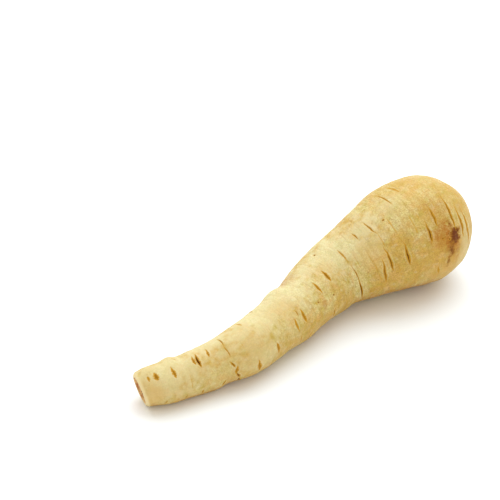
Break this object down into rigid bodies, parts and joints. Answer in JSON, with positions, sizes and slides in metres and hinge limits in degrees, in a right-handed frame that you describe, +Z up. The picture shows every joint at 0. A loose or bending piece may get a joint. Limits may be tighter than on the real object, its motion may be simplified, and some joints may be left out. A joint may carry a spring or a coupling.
{
  "type": "parsnip",
  "caption": "Fresh parsnip root lying on its side, slightly S-bent, with a broad rounded crown, a sunken leaf scar and a trimmed tip.",
  "frame": {"origin": "centre of the root's footprint box, on the plane that it lies on", "axes": "+X along the root from its trimmed tip to its crown, +Y to the left of it, +Z up"},
  "size_m": [0.2182, 0.061, 0.0593],
  "materials": {
    "skin": "satin"
  },
  "bodies": {
    "root": {"parsnip_root": "skin"}
  },
  "joints": []
}
